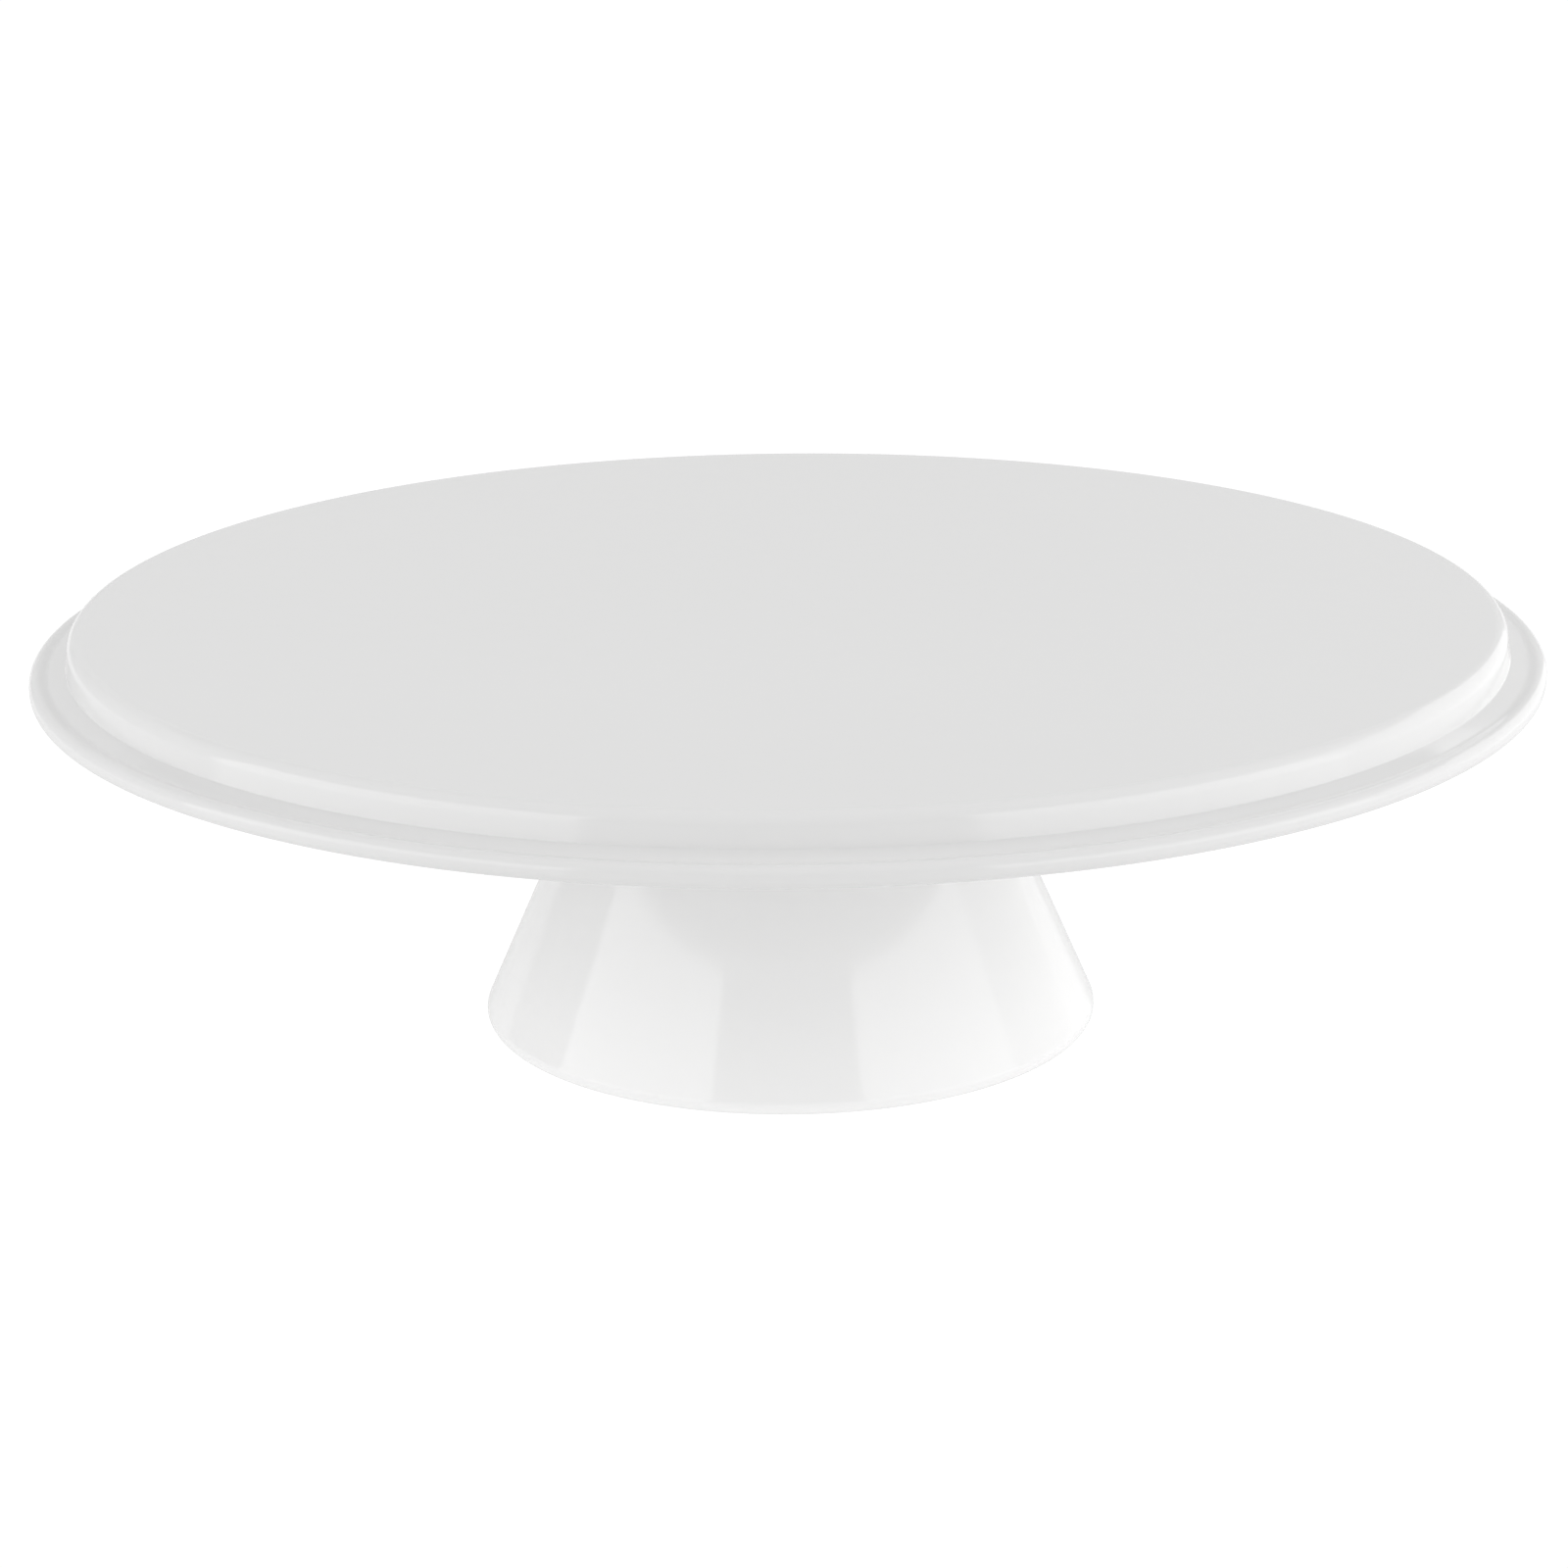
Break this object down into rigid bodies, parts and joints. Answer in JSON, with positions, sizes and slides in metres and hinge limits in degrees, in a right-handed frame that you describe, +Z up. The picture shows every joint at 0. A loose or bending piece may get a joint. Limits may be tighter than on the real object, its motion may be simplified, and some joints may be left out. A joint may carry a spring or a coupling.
{
  "type": "revolving cake stand",
  "caption": "Round glossy white cake stand: a wide flat plate with a stepped, beaded rim turns on a low conical pedestal that holds a ball bearing.",
  "frame": {"origin": "on the ground plane, under the rubber pads, on the axis the plate turns about", "axes": "+Z up along the turning axis; +X and +Y are equal, +Y passes through one web of the pedestal"},
  "size_m": [0.305, 0.305, 0.0879],
  "materials": {
    "white_moulding": "glossy white moulding",
    "white_moulding_foot": "glossy white moulding",
    "cover_plastic": "fine moulded texture, off-white",
    "race_steel": "pressed and ground steel",
    "ball_steel": "polished bearing steel",
    "cage_nylon": "natural nylon",
    "bush_plastic": "black acetal",
    "insert_brass": "turned brass",
    "spindle_steel": "ground steel shaft",
    "spring_steel": "dark spring steel",
    "zinc_steel": "zinc-plated steel",
    "ballast_iron": "black painted cast iron",
    "pad_rubber": "soft matt rubber"
  },
  "bodies": {
    "base": {"pedestal": "white_moulding_foot", "lower_race": "race_steel", "upper_bush": "bush_plastic", "lower_bush": "bush_plastic", "ballast_ring": "ballast_iron", "base_cover": "cover_plastic", "cover_screws": "zinc_steel", "foot_pads": "pad_rubber"},
    "turntable": {"plate": "white_moulding", "upper_race": "race_steel", "hub_insert": "insert_brass", "spindle": "spindle_steel", "disc_spring": "spring_steel", "retaining_washer": "zinc_steel", "lock_nut": "zinc_steel"},
    "ball_carrier": {"ball_cage": "cage_nylon", "bearing_balls": "ball_steel"}
  },
  "joints": [
    {"name": "plate_spin", "type": "hinge", "parent": "base", "child": "turntable", "pos_m": [0, 0, 0.08], "axis": [0, 0, 1], "continuous": true},
    {"name": "cage_spin", "type": "hinge", "parent": "base", "child": "ball_carrier", "pos_m": [0, 0, 0.08], "axis": [0, 0, 1], "continuous": true}
  ],
  "couplings": [
    {"joint": "cage_spin", "follows": "plate_spin", "ratio": 0.5}
  ]
}
